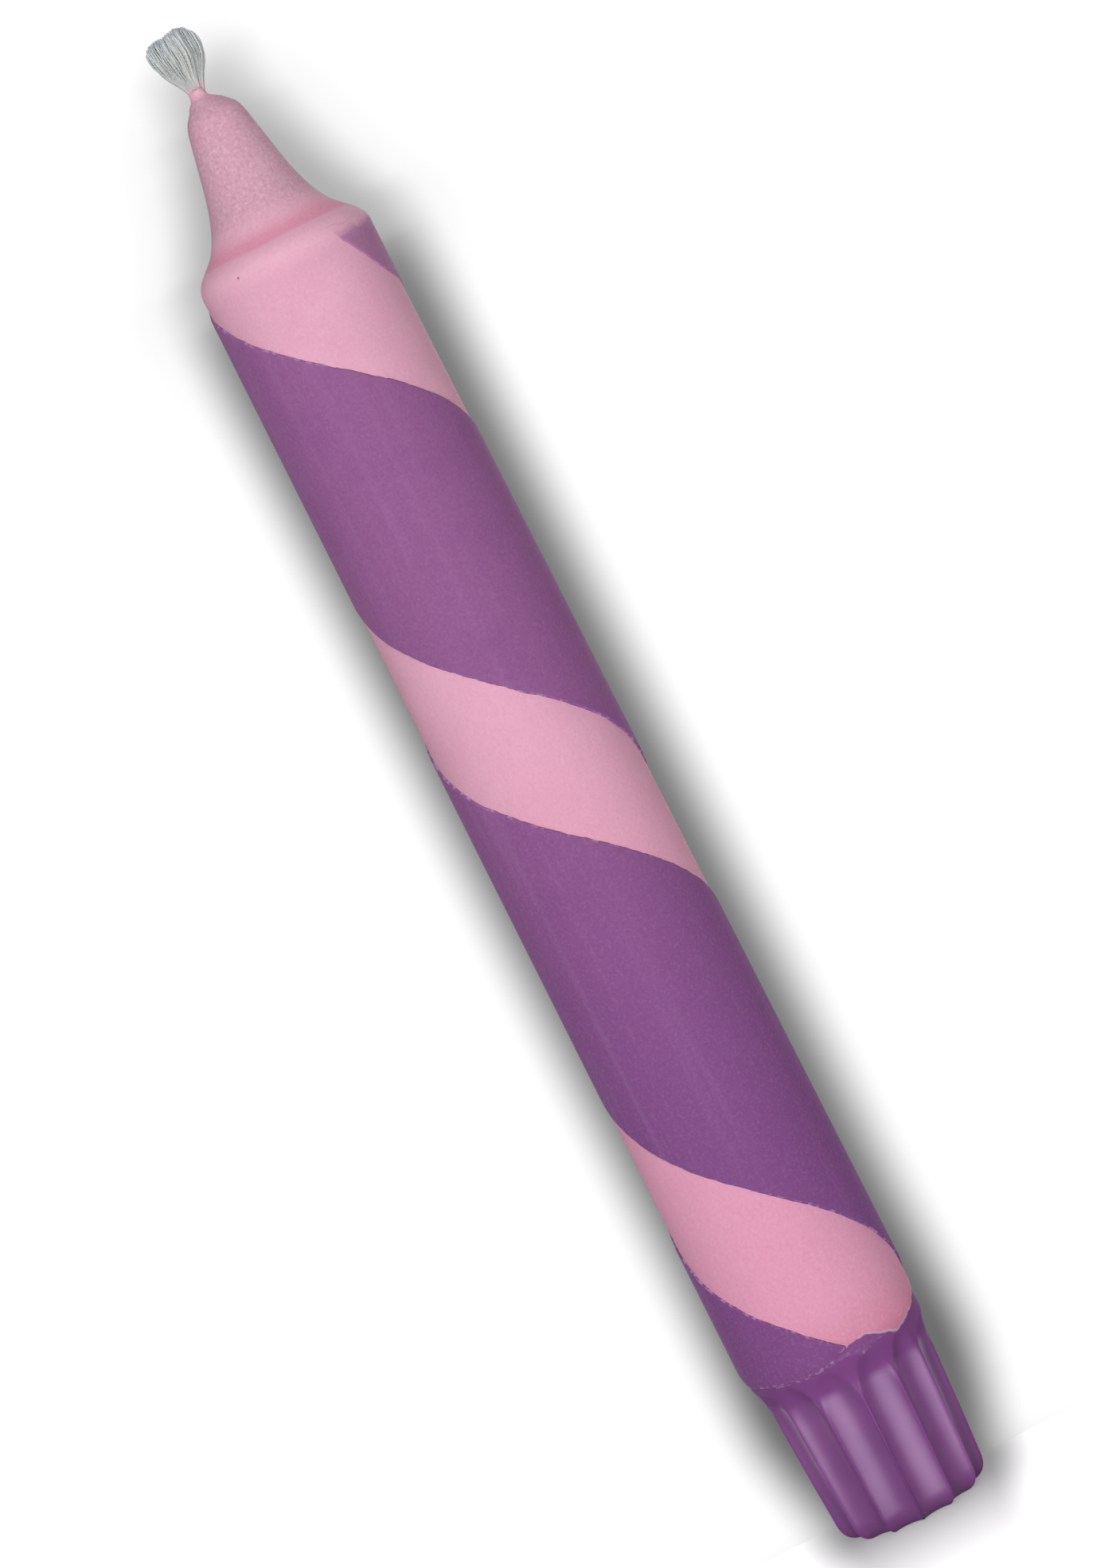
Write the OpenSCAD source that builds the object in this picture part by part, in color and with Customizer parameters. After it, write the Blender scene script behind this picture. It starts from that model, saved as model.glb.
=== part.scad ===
// Taper candle: a cast wax body with a fluted foot, a pink skin, a purple spiral over it and a cotton wick.
// It stands on the flat end of its foot, with the wick pointing up. Millimetres, origin under the foot.

/* [Foot] */
// Length of the fluted foot that goes into a candle socket
foot_len = 19; // [15:0.5:30]
// Diameter over the flute crests at the flat end
foot_end_d = 19.2; // [17:0.1:20]
// Diameter over the flute crests at the top of the foot
foot_top_d = 20.8; // [18.5:0.1:21.5]
// Number of flutes round the foot
flute_count = 13; // [8:1:16]
// Depth of the flutes below the crests
flute_depth = 1.2; // [0.5:0.1:1.6]
// Radius of the round hollow of a flute
flute_r = 3.2; // [2.6:0.1:5]
// Angle of the first crest from the front, to the right
flute_turn = 0.5; // [-15:0.5:15]
// Rounding of the foot's lower edge
foot_round = 3; // [0.5:0.1:3.6]

/* [Shaft] */
// Height of the neck that widens from the foot to the shaft
neck_len = 4.5; // [2.5:0.1:8]
// Length of the shaft
shaft_len = 142.6; // [110:0.1:220]
// Diameter at the lower end of the shaft, without the skin
shaft_low_d = 22.5; // [21.5:0.1:24]
// Diameter at the upper end of the shaft, without the skin
shaft_top_d = 21; // [20:0.1:22.5]

/* [Tip] */
// Height of the round shoulder
shoulder_len = 2.6; // [1.5:0.1:5]
// Diameter where the shoulder meets the slope
shoulder_d = 18.8; // [17.5:0.1:19.5]
// Height of the slope above the shoulder
slope_len = 1.3; // [0.5:0.1:4]
// Diameter at the top of the slope
slope_d = 16.2; // [14:0.1:17]
// Height of the hollow curve that leads into the point
flare_len = 8.4; // [5:0.1:14]
// Diameter at the top of the hollow curve
flare_d = 9.2; // [8:0.1:11]
// Height of the straight flank of the point
flank_len = 5.9; // [3:0.1:12]
// Diameter at the top of the flank
flank_d = 6.6; // [5.5:0.1:7.5]
// Height of the round end above the flank
dome_len = 2.1; // [1.5:0.1:3.5]
// Diameter where the round end turns into the cone round the wick
dome_d = 4; // [3.4:0.1:5]
// Height of the cone round the wick
cone_len = 1.2; // [0.5:0.1:2.5]

/* [Wick] */
// Diameter of the cotton core
wick_d = 1.5; // [1:0.1:2]
// Clearance round the core in its hole: the wax is cast on to it
wick_gap = 0; // [0:0.05:0.2]
// How far the core sits to the left of the candle's axis
wick_shift = 0.5; // [-0.8:0.1:0.8]
// How far the core's lower end is sunk into the flat end
wick_sink = 0.4; // [0.1:0.1:3]
// Height of the frayed head above the wax
head_len = 6.6; // [3:0.1:12]
// Width of the frayed head, across the front
head_w = 6.2; // [3:0.1:9]
// Thickness of the frayed head, from front to back
head_t = 4.8; // [2.5:0.1:9]
// Number of strands seen round the head
strand_count = 22; // [12:1:30]
// How far a strand stands out from the gaps beside it
strand_depth = 0.2; // [0.05:0.05:0.3]

/* [Skin] */
// Thickness of the pink skin
skin_t = 0.3; // [0.15:0.05:0.6]
// Length of the wax neck that climbs the wick
climb_len = 1.9; // [0.5:0.1:3]
// Thickness of the wax neck round the wick
climb_t = 0.2; // [0.1:0.05:0.4]

/* [Spiral] */
// Thickness of the purple band over the pink skin
band_t = 0.25; // [0.15:0.05:0.5]
// Clearance between the band and the skin under it
band_gap = 0.04; // [0.03:0.01:0.1]
// Height of the band's upper edge at the front, in its top turn
band_top_z = 152.7; // [140:0.1:160]
// Height of the band's lower edge at the front, in its top turn
band_low_z = 111.4; // [100:0.1:125]
// Fall of the upper edge in the first turn
top_pitch = 60.9; // [56:0.1:68]
// Fall of the lower edge in the first turn
low_pitch = 66.7; // [62:0.1:72]
// How much more the upper edge falls in each further turn
top_pitch_gain = 6.15; // [0:0.05:8]
// How much more the lower edge falls in each further turn
low_pitch_gain = 4.1; // [0:0.05:8]
// Sideways lean of the band, as the height it rises and falls in a turn
band_lean = 0.8; // [0:0.1:2]
// How far the band climbs on to the shoulder
band_climb = 1.6; // [0.2:0.1:2.2]

/* [Hidden] */

$fn = 144;

// Heights of the outline's corners, from the flat end up
neck_z = foot_len;
shaft_z = neck_z + neck_len;
shoulder_z = shaft_z + shaft_len;
slope_z = shoulder_z + shoulder_len;
flare_z = slope_z + slope_len;
flank_z = flare_z + flare_len;
dome_z = flank_z + flank_len;
cone_z = dome_z + dome_len;
tip_z = cone_z + cone_len;

// Steps along a curved stretch of the outline
curve_steps = 8;
// Share of a curved stretch's height at which its two end directions meet, and the same for the round end
bend_share = 0.25;
dome_share = 0.7;
// A cut runs this far past the surface that it opens
past = 1;

// Quadratic curve from a to c, drawn towards b
function bend(a, b, c, steps = curve_steps) =
    [for (i = [0 : steps]) let (u = i / steps) a * (1 - u) * (1 - u) + b * 2 * u * (1 - u) + c * u * u];

// Where the line from a through b is at height z, as [radius, height]
function at_height(a, b, z) = [a[0] + (b[0] - a[0]) * (z - a[1]) / (b[1] - a[1]), z];

// Outline of the foot, from the axis to the start of the neck
foot_side_bottom = [foot_end_d / 2, foot_round];
foot_side_top = [foot_top_d / 2, neck_z];
foot_outline = concat(
    [[0, 0]],
    bend([foot_end_d / 2 - foot_round, 0], [foot_end_d / 2, 0], foot_side_bottom),
    [foot_side_top]);

// Outline of the neck: hollow at the foot and round at the shaft
neck_mid = ([foot_top_d / 2, neck_z] + [shaft_low_d / 2, shaft_z]) / 2;
neck_outline = concat(
    bend(foot_side_top, at_height(foot_side_bottom, foot_side_top, neck_z + neck_len * bend_share), neck_mid),
    bend(neck_mid, [shaft_low_d / 2, shaft_z - neck_len * bend_share], [shaft_low_d / 2, shaft_z]));

// Outline of the shaft and the tip, up to the wick's axis
flank_low = [flare_d / 2, flank_z];
flank_top = [flank_d / 2, dome_z];
slope_low = [shoulder_d / 2, slope_z];
slope_top = [slope_d / 2, flare_z];
cone_low = [dome_d / 2, cone_z];
tip_outline = concat(
    bend([shaft_top_d / 2, shoulder_z], [shaft_top_d / 2, (shoulder_z + slope_z) / 2], slope_low),
    bend(slope_top, at_height(flank_low, flank_top, flare_z + flare_len * bend_share), flank_low),
    bend(flank_top, at_height(flank_low, flank_top, dome_z + dome_len * dome_share), cone_low),
    [[wick_d / 2, tip_z], [0, tip_z]]);

body_outline = concat(foot_outline, neck_outline, tip_outline);

// The stretch of the body that the skin covers
skin_inside = concat(neck_outline, tip_outline);

// Unit direction out of an outline at its point i
function outward(points, i) =
    let (a = points[max(i - 1, 0)], b = points[min(i + 1, len(points) - 1)], d = b - a)
    [d[1], -d[0]] / norm(d);

// An outline moved outwards by t, kept on the right side of the axis
function grown(points, t) =
    [for (i = [0 : len(points) - 1]) let (p = points[i] + outward(points, i) * t) [max(p[0], 0), p[1]]];

// Height of the skin's torn lower edge at angles from the front, as a drop below the shaft's lower end
torn_drop = [[-180, 0.9], [-150, 1.3], [-115, 0.8], [-65, 0.9], [-28, 1.4], [-4, 1.0], [8, -0.1], [20, -0.2],
    [41, 1.4], [54, 0.8], [66, 0], [84, -0.9], [105, 0.1], [140, 0.7], [180, 0.9]];
function torn_z(angle) = shaft_z - lookup(angle - 360 * floor((angle + 180) / 360), torn_drop);

// Height of one edge of the spiral: an angle from the front counts on from turn to turn
function edge_z(front_z, pitch, gain, angle) =
    let (turn = angle / 360)
    front_z - (pitch - gain / 2) * turn - gain / 2 * turn * turn + band_lean * sin(angle);
function band_top(angle) =
    min(edge_z(band_top_z, top_pitch, top_pitch_gain, angle), shoulder_z + band_climb);
function band_low(angle) =
    max(edge_z(band_low_z, low_pitch, low_pitch_gain, angle), torn_z(angle));

// Angle between two cross-sections of the band, and the turns among which the band is looked for
band_step = 7.5;
first_turn = -3;
last_turn = 5;
// Height over which the band's edges are rounded and follow the curves under them
edge_run = 2;
// Least height left between the two edges, and height of the band at its pointed ends
edge_apart = 0.2;
band_end = 0.5;
// Rounding of an edge: share of that height, and share of the band's thickness there
band_edge = [[0, 0.4], [0.2, 1], [0.55, 1], [1, 1]];
// Radius of the band's inner face at a height, out far enough for the flats between two cross-sections
skin_outside = grown(skin_inside, skin_t);
function skin_r(z) = lookup(z, [for (p = skin_outside) [p[1], p[0]]]) / cos(band_step / 2) + band_gap;

// A point on a circle round the axis, at an angle from the front
function around(r, angle, z) = [r * sin(angle), -r * cos(angle), z];

// Closed solid through rings that have the same number of points
function ring_faces(rings, points) = concat(
    [[for (i = [0 : points - 1]) i]],
    [for (k = [0 : rings - 2], i = [0 : points - 1])
        [k * points + i, (k + 1) * points + i, (k + 1) * points + (i + 1) % points]],
    [for (k = [0 : rings - 2], i = [0 : points - 1])
        [k * points + i, (k + 1) * points + (i + 1) % points, k * points + (i + 1) % points]],
    [[for (i = [points - 1 : -1 : 0]) (rings - 1) * points + i]]);

module wick_hole() {
    translate([-wick_shift, 0, -past]) cylinder(d = wick_d + 2 * wick_gap, h = tip_z + climb_len + 2 * past);
}

// One flute: a round-ended cutter that leans with the side of the foot
module flute() {
    lean = atan((foot_top_d - foot_end_d) / 2 / (neck_z - foot_round));
    run_len = neck_z - flute_r / 2 + past;
    translate([0, -(foot_end_d / 2 - flute_depth + flute_r), 0])
        rotate([lean, 0, 0])
            translate([0, 0, -past]) {
                cylinder(r = flute_r, h = run_len);
                translate([0, 0, run_len]) sphere(r = flute_r);
            }
}

module candle_body() {
    color("#7b3f82")
        difference() {
            rotate_extrude() polygon(body_outline);
            for (i = [0 : flute_count - 1])
                rotate([0, 0, flute_turn + (i + 0.5) * 360 / flute_count]) flute();
            wick_hole();
        }
}

// Everything below the torn edge, as a ring that takes the skin's lower end away
module below_torn_edge() {
    steps = 72;
    inside_r = foot_top_d / 2 - past;
    outside_r = shaft_low_d / 2 + skin_t + band_t + past;
    ring = [for (i = [0 : steps - 1]) let (a = i * 360 / steps)
        [around(inside_r, a, 0), around(outside_r, a, 0),
            around(outside_r, a, torn_z(a)), around(inside_r, a, torn_z(a))]];
    corner_points = [for (r = ring, p = r) p];
    faces = [for (i = [0 : steps - 1], k = [0 : 3])
        let (j = (i + 1) % steps, m = (k + 1) % 4)
        each [[i * 4 + k, j * 4 + m, j * 4 + k], [i * 4 + k, i * 4 + m, j * 4 + m]]];
    polyhedron(corner_points, faces);
}

module pink_coat() {
    color("#dfa2bb")
        difference() {
            union() {
                rotate_extrude() polygon(concat(skin_outside,
                    [for (i = [len(skin_inside) - 1 : -1 : 0]) skin_inside[i]]));
                translate([-wick_shift, 0, tip_z])
                    cylinder(d = wick_d + 2 * climb_t, h = climb_len);
            }
            below_torn_edge();
            wick_hole();
        }
}

// The band's cross-section at an angle: up its outer face, with rounded edges, and down its inner face
function band_ring(angle) =
    let (low = band_low(angle), high = band_top(angle),
        squeeze = min(1, (high - low) / (2 * edge_run + edge_apart)),
        rise = [for (e = band_edge) low + e[0] * edge_run * squeeze],
        sink = [for (e = band_edge) high - e[0] * edge_run * squeeze],
        last = len(band_edge) - 1)
    [
        for (i = [0 : last]) around(skin_r(rise[i]), angle, rise[i]),
        for (i = [last : -1 : 0]) around(skin_r(sink[i]), angle, sink[i]),
        for (i = [0 : last]) around(skin_r(sink[i]) + band_t * band_edge[i][1], angle, sink[i]),
        for (i = [last : -1 : 0]) around(skin_r(rise[i]) + band_t * band_edge[i][1], angle, rise[i])
    ];

module purple_spiral() {
    angles = [for (a = [first_turn * 360 : band_step : last_turn * 360])
        if (band_top(a) - band_low(a) > band_end) a];
    rings = [for (a = angles) band_ring(a)];
    color("#8f5a93")
        polyhedron([for (r = rings, p = r) p], ring_faces(len(rings), len(rings[0])));
}

// Outline of the wick's frayed head, in shares of its half width and its height: where its side bends, where
// it is widest, and the crown over the strands' ends
head_bend = [0.62, 0.3];
head_widest = [1, 0.85];
head_crown = [[0.93, 0.96], [0.7, 1], [0.35, 0.97]];
// Steps up the head's side, and corners round one strand
head_steps = 7;
strand_points = 4;
// Share of the head's height over which the strands part
parting = 0.25;
// Waviness of the strands' ends in shares of the head's height, with the waves' place round the head
end_wave = 0.03;
end_wave_turn = 40;

// Frayed head of the wick, as rings that spread from the core and close over the strands' ends
module wick_head() {
    low_z = tip_z + climb_len;
    points = strand_count * strand_points;
    foot_share = (wick_d / 2 + climb_t / 2) / (head_w / 2);
    profile = concat(bend([foot_share, 0], head_bend, head_widest, head_steps), head_crown);
    rings = [for (p = profile)
        [for (i = [0 : points - 1])
            let (a = i * 360 / points,
                open = min(1, p[1] / parting),
                r = p[0] * head_w / 2 + strand_depth * open * cos(strand_count * a),
                flat = 1 - (1 - head_t / head_w) * open,
                wave = end_wave * p[1] * (sin(2 * a + end_wave_turn) + sin(5 * a)))
            [r * cos(a) - wick_shift, r * sin(a) * flat, low_z + head_len * (p[1] + wave)]]];
    polyhedron([for (r = rings, p = r) p], ring_faces(len(rings), points));
}

module wick() {
    color("#c4c9c4") {
        translate([-wick_shift, 0, wick_sink])
            cylinder(d = wick_d, h = tip_z + climb_len - wick_sink + past);
        wick_head();
    }
}

candle_body();
pink_coat();
purple_spiral();
wick();
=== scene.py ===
# %% [markdown]
# A dinner candle, dressed for its portrait. The solids come from the CAD model: a cast purple body with a fluted
# foot, a thin pink skin, a purple band that winds over it, and a cotton wick. This script keeps those sizes and
# rebuilds each layer as a finer mesh, because wax shows its making in small things: torn dipping edges, soft
# flute crests, a veil of pink over purple, and a wick cut with scissors that frays into hundreds of fibres.

# %% Load the frame
import math

import bpy
import numpy as np
from mathutils import Matrix, Vector


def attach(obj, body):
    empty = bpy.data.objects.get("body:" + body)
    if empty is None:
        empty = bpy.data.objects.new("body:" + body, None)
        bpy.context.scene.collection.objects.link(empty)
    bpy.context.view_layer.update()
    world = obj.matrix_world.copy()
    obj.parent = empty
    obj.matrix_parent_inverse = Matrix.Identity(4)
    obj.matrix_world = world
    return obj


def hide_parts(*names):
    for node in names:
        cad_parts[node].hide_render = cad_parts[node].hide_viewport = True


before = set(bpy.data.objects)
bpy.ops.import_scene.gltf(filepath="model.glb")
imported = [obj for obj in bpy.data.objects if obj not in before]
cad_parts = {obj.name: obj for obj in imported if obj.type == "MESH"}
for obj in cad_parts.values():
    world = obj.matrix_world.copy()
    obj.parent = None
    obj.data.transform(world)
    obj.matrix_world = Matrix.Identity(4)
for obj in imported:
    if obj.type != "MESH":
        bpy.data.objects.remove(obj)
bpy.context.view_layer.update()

MM = 0.001

# %% [markdown]
# The photograph was taken with a long lens from 0.66 m, five degrees above the middle of the candle, with the
# camera rolled so that the candle leans to the upper left. The candle stays upright here, as it does on a table,
# and the camera takes the roll.

# %% Camera
PICTURE_LONG_SIDE = 1970
FOCAL_PIXELS = 7000
SENSOR_WIDTH = 36
CAMERA_PLACE = (0.00098, -0.6575, 0.1544)
LOOK_DOWN = math.radians(4.98)
ROLL = (0.4504, 0.8928)   # sine and cosine of the candle's lean in the picture

ahead = Vector((0, math.cos(LOOK_DOWN), -math.sin(LOOK_DOWN)))
level_right = Vector((1, 0, 0))
level_up = Vector((0, math.sin(LOOK_DOWN), math.cos(LOOK_DOWN)))
right = level_right * ROLL[1] - level_up * ROLL[0]
up = level_right * ROLL[0] + level_up * ROLL[1]

camera_data = bpy.data.cameras.new("camera")
camera_data.sensor_width = SENSOR_WIDTH
camera_data.lens = FOCAL_PIXELS / PICTURE_LONG_SIDE * SENSOR_WIDTH
camera = bpy.data.objects.new("camera", camera_data)
turn = Matrix((right, up, -ahead)).transposed().to_4x4()
camera.matrix_world = Matrix.Translation(CAMERA_PLACE) @ turn
bpy.context.scene.collection.objects.link(camera)
bpy.context.scene.camera = camera
print("Lens in mm:", round(camera_data.lens, 1))

# %% [markdown]
# Every layer of this candle is a grid of points: rows that follow an outline, columns that go round the axis. One
# helper finds the faces of such a grid, and another makes the smooth mesh. A mesh can store a number at each point
# for its material to read, such as how close the point is to a torn edge.

# %% From points to a mesh
def add_piece(name, points, faces, notes=None):
    """A smooth mesh in the scene, through points in millimetres, that stores each note's number at every point."""
    mesh = bpy.data.meshes.new(name)
    mesh.from_pydata((points.reshape(-1, 3) * MM).tolist(), [], faces)
    mesh.shade_smooth()
    for note, values in (notes or {}).items():
        attribute = mesh.attributes.new(note, "FLOAT", "POINT")
        attribute.data.foreach_set("value", np.asarray(values, np.float32).ravel())
    piece = bpy.data.objects.new(name, mesh)
    bpy.context.scene.collection.objects.link(piece)
    print(f"{name}: {len(faces)} faces")
    return piece


def grid_mesh(name, points, round_trip=True, notes=None):
    """A piece through points[row][column], closed round its columns if asked."""
    rows, columns = points.shape[:2]
    index = np.arange(rows * columns).reshape(rows, columns)
    after = np.roll(index, -1, axis=1) if round_trip else index[:, 1:]
    here = index if round_trip else index[:, :-1]
    faces = np.stack([here[:-1], after[:-1], after[1:], here[1:]], axis=-1).reshape(-1, 4)
    return add_piece(name, points, faces.tolist(), notes)


def around(radius, angle, height):
    """Points at an angle in degrees from the front, to the right, stacked as x, y, z."""
    turn = np.radians(angle)
    return np.stack(np.broadcast_arrays(radius * np.sin(turn), -radius * np.cos(turn), height), axis=-1)


def smooth(low, high, x):
    """Rises from 0 to 1 between low and high, flat at both ends."""
    share = np.clip((np.asarray(x, float) - low) / (high - low), 0, 1)
    return share * share * (3 - 2 * share)

# %% [markdown]
# Dipped wax never ends in a clean line. Its edge wanders over a centimetre, wobbles over a millimetre and is
# chipped at a tenth of one. Adding smooth random curves of those lengths gives such a line, and a fixed seed
# gives the same one each time.

# %% Ragged lines
DRAWS = 4096
FIRST_DRAW = 512
RING_RADIUS = 11.4


def ragged(length, seed, grains):
    """Random wander at distances length, in millimetres: grains are pairs of grain length and size."""
    length = np.asarray(length, float)
    total = np.zeros_like(length)
    for number, (grain, size) in enumerate(grains):
        draws = np.random.default_rng(seed * 100 + number).uniform(-1, 1, DRAWS)
        place = length / grain + FIRST_DRAW
        low = np.floor(place).astype(int)
        share = smooth(0, 1, place - low)
        total += size * (draws[low % DRAWS] * (1 - share) + draws[(low + 1) % DRAWS] * share)
    return total


def ragged_ring(angle, seed, grains):
    """The same round the candle, with both ends joined."""
    angle = np.asarray(angle, float) % 360
    there = ragged(np.radians(angle) * RING_RADIUS, seed, grains)
    back = ragged(np.radians(angle - 360) * RING_RADIUS, seed, grains)
    share = smooth(300, 360, angle)
    return there * (1 - share) + back * share

# %% [markdown]
# The outline of the candle, from its flat end to the tip, is the one that the CAD model revolves: a conical foot,
# a hollow neck, a straight shaft that tapers a little, a round shoulder, a slope, and a point with hollow flanks
# and a domed end. Only the foot, the neck, the shoulder and the point are up to a third of a millimetre fuller.

# %% The outline that all layers share
BEND_POINTS = 17


def bend(a, b, c):
    """Quadratic curve from a to c, drawn towards b."""
    u = np.linspace(0, 1, BEND_POINTS)[:, None]
    return np.array(a) * (1 - u) ** 2 + np.array(b) * 2 * u * (1 - u) + np.array(c) * u ** 2


def at_height(a, b, z):
    """Where the line from a through b is at height z."""
    return (a[0] + (b[0] - a[0]) * (z - a[1]) / (b[1] - a[1]), z)


# Heights at which the outline changes, and its corners as (radius, height), all in millimetres
FOOT_ROUND = 3.0
NECK_Z, SHAFT_Z, SHOULDER_Z, SLOPE_Z, FLARE_Z = 19.0, 23.5, 166.1, 168.7, 170.0
FLANK_Z, DOME_Z, CONE_Z, TIP_Z = 178.4, 184.3, 186.4, 187.6
foot_low, foot_high = (9.82, FOOT_ROUND), (10.58, NECK_Z)
neck_middle = (11.2, 21.5)
foot_outline = bend((foot_low[0] - FOOT_ROUND, 0), (foot_low[0], 0), foot_low)
neck_outline = np.concatenate([
    bend(foot_high, at_height(foot_low, foot_high, 20.125), neck_middle),
    bend(neck_middle, (11.38, 22.3), (11.25, SHAFT_Z))])
flank_low, flank_high = (4.7, FLANK_Z), (3.48, DOME_Z)
tip_outline = np.concatenate([
    bend((10.55, SHOULDER_Z), (10.75, SHOULDER_Z + 1.6), (9.75, SLOPE_Z)),
    bend((8.35, FLARE_Z), at_height(flank_low, flank_high, 172.1), flank_low),
    bend(flank_high, at_height(flank_low, flank_high, 185.7), (2.5, CONE_Z)),
    [(1.75, CONE_Z + 0.65), (0.9, TIP_Z)]])
body_outline = np.concatenate([foot_outline, neck_outline, tip_outline])


def body_radius(z):
    """Radius of the cast body at a height, without its flutes."""
    return np.interp(z, body_outline[:, 1], body_outline[:, 0])

print("Radius at the shaft's ends:", body_radius(SHAFT_Z), body_radius(SHOULDER_Z))

# %% [markdown]
# The foot is pressed into a candle socket, so it is cast with thirteen hollow flutes whose crests squash as they go
# in. A flute is the trace of a round cutter: where a ray from the axis meets that circle first, the wax ends
# there. The cutter ends in a long ball, so the flute runs out under the neck. Taking the smaller of the two radii
# with a soft change-over rounds the crests as a mould does, and more so towards the tops of the flutes. The columns
# of the grid crowd together at the crests, so that each stays a fine line.

# %% Foot and cast body
FLUTES = 13
PITCH = 360 / FLUTES
FLUTE_RADIUS = 3.2
FLUTE_DEPTH = 1.35
FIRST_CREST = 0.5
CREST_ROUND = 0.1
TOP_ROUND = 0.5
BALL_Z = 15.8
BALL_SQUEEZE = 0.5
COLUMNS_A_FLUTE = 40
CROWDING = 0.93
WICK_HOLE = 0.75
LEAN = (foot_high[0] - foot_low[0]) / (NECK_Z - FOOT_ROUND)
FOOT_SHIFT = 0.2


def fluted_radius(angle, z):
    """Radius of the body where the flutes are cut, softened at the crests and led round the lower edge."""
    if_straight = body_radius(np.maximum(z, FOOT_ROUND))
    return straight_flutes(angle, np.maximum(z, FOOT_ROUND), if_straight) * body_radius(z) / if_straight


def straight_flutes(angle, z, plain):
    """Radius where a flute's cutter ends the wax, or the plain radius if that is less."""
    off_centre = np.radians((angle - FIRST_CREST) % PITCH - PITCH / 2)
    centre = foot_low[0] - FLUTE_DEPTH + FLUTE_RADIUS + LEAN * (z - FOOT_ROUND)
    past_ball = BALL_SQUEEZE * np.maximum(z - BALL_Z, 0)
    reach = FLUTE_RADIUS ** 2 - (centre * np.sin(off_centre)) ** 2 - past_ball ** 2
    hollow = centre * np.cos(off_centre) - np.sqrt(np.maximum(reach, 0))
    hollow = np.where(reach > 0, hollow, plain + 1)
    rounding = CREST_ROUND + TOP_ROUND * smooth(15, NECK_Z, z)
    overlap = np.maximum(rounding - np.abs(plain - hollow), 0)
    return np.minimum(plain, hollow) - overlap ** 2 / rounding / 4


WICK_X = -0.5
share = np.linspace(0, 1, COLUMNS_A_FLUTE + 1)[:-1]
dense_at_crests = share - CROWDING * np.sin(2 * np.pi * share) / (2 * np.pi)
columns = (FIRST_CREST + PITCH * (np.arange(FLUTES)[:, None] + dense_at_crests)).ravel()
side_z = np.concatenate([foot_outline[:, 1], np.arange(FOOT_ROUND + 0.4, 26, 0.4)])
side = around(fluted_radius(columns[None, :], side_z[:, None]), columns[None, :], side_z[:, None])
side[:, :, 0] += FOOT_SHIFT * (1 - smooth(17, 24, side_z))[:, None]
flat_radius = np.array([WICK_HOLE, 1.6, 3.0, 4.4, 5.2])
flat_rings = around(flat_radius[:, None], columns[None, :], 0.0)
to_wick = 1 - smooth(WICK_HOLE, flat_radius[-1], flat_radius)
flat_rings[:, :, 0] += WICK_X * to_wick[:, None] + FOOT_SHIFT * (1 - to_wick[:, None])
hole = around(WICK_HOLE, columns[None, :], np.array([[0.9], [0.1]]))
hole[:, :, 0] += WICK_X
foot_points = np.concatenate([hole, flat_rings, side])
from_crest = np.minimum((columns - FIRST_CREST) % PITCH, (FIRST_CREST - columns) % PITCH)
crest = np.tile(1 - smooth(0.3, 2.2, from_crest), (len(foot_points), 1))
foot = grid_mesh("fluted_foot", foot_points, notes={"crest": crest})
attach(foot, "root")
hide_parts("candle_body")

# %% [markdown]
# The pink skin is one dip of wax, a third of a millimetre thick. It runs under the purple band, so it is made
# whole: from its torn lower edge, over the shoulder, up the point and a little way up the wick. Each column of
# the grid starts on the body, turns over a round lip and goes on up, so the torn edge has a real thickness.

# %% Pink skin
SKIN = 0.3
CLIMB_TOP = 188.9
HIDDEN_RISE = 1.2
BAND_SLANT = 0.8
# How far the torn edge hangs below the shaft's lower end, at angles from the front
TORN_DROP = [(-180, 0.9), (-150, 1.3), (-115, 0.8), (-65, 0.9), (-28, 1.4), (-4, 1.0), (8, -0.1), (20, -0.2),
             (41, 1.4), (54, 0.8), (66, 0.0), (84, -0.9), (105, 0.1), (140, 0.7), (180, 0.9)]


def from_front(angle):
    """The same angle between -180 and 180."""
    return (np.asarray(angle, float) + 180) % 360 - 180


def torn_height(angle):
    """Height of the skin's lower edge, before it is made ragged."""
    return SHAFT_Z - np.interp(from_front(angle), *np.array(TORN_DROP).T)


def edge_height(front_z, pitch, gain, angle):
    """Height of one edge of the purple band, at an angle that counts on from turn to turn."""
    turns = angle / 360
    return front_z - (pitch - gain / 2) * turns - gain / 2 * turns ** 2 + BAND_SLANT * np.sin(np.radians(angle))


# Height at the front, fall in a turn and what each turn adds to it
UPPER_EDGE = (152.7, 60.9, 6.15)
LOWER_EDGE = (111.4, 66.7, 4.1)


def hidden_rise(angle):
    """How far the skin's torn edge is drawn up to stay out of sight under the band's last turn."""
    angle = from_front(angle)
    over = edge_height(*UPPER_EDGE, angle + 720) - torn_height(angle) - 0.35
    return np.maximum(np.clip(over, 0, HIDDEN_RISE), HIDDEN_RISE * smooth(108, 114, angle))


outward = np.gradient(body_outline, axis=0)
outward = np.stack([outward[:, 1], -outward[:, 0]], axis=1) / np.linalg.norm(outward, axis=1)[:, None]
skin_outline = body_outline + outward * SKIN


def skin_radius(z):
    """Outer radius of the skin at a height."""
    return np.interp(z, skin_outline[:, 1], skin_outline[:, 0])


columns = np.arange(0, 360, 1.25)
torn_edge = torn_height(columns) + ragged_ring(columns, 3, [(4, 0.18), (1.5, 0.12), (0.5, 0.08)])
torn_edge = torn_edge + hidden_rise(columns)
lifted = smooth(12, 24, from_front(columns)) * (1 - smooth(60, 74, from_front(columns)))
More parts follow.
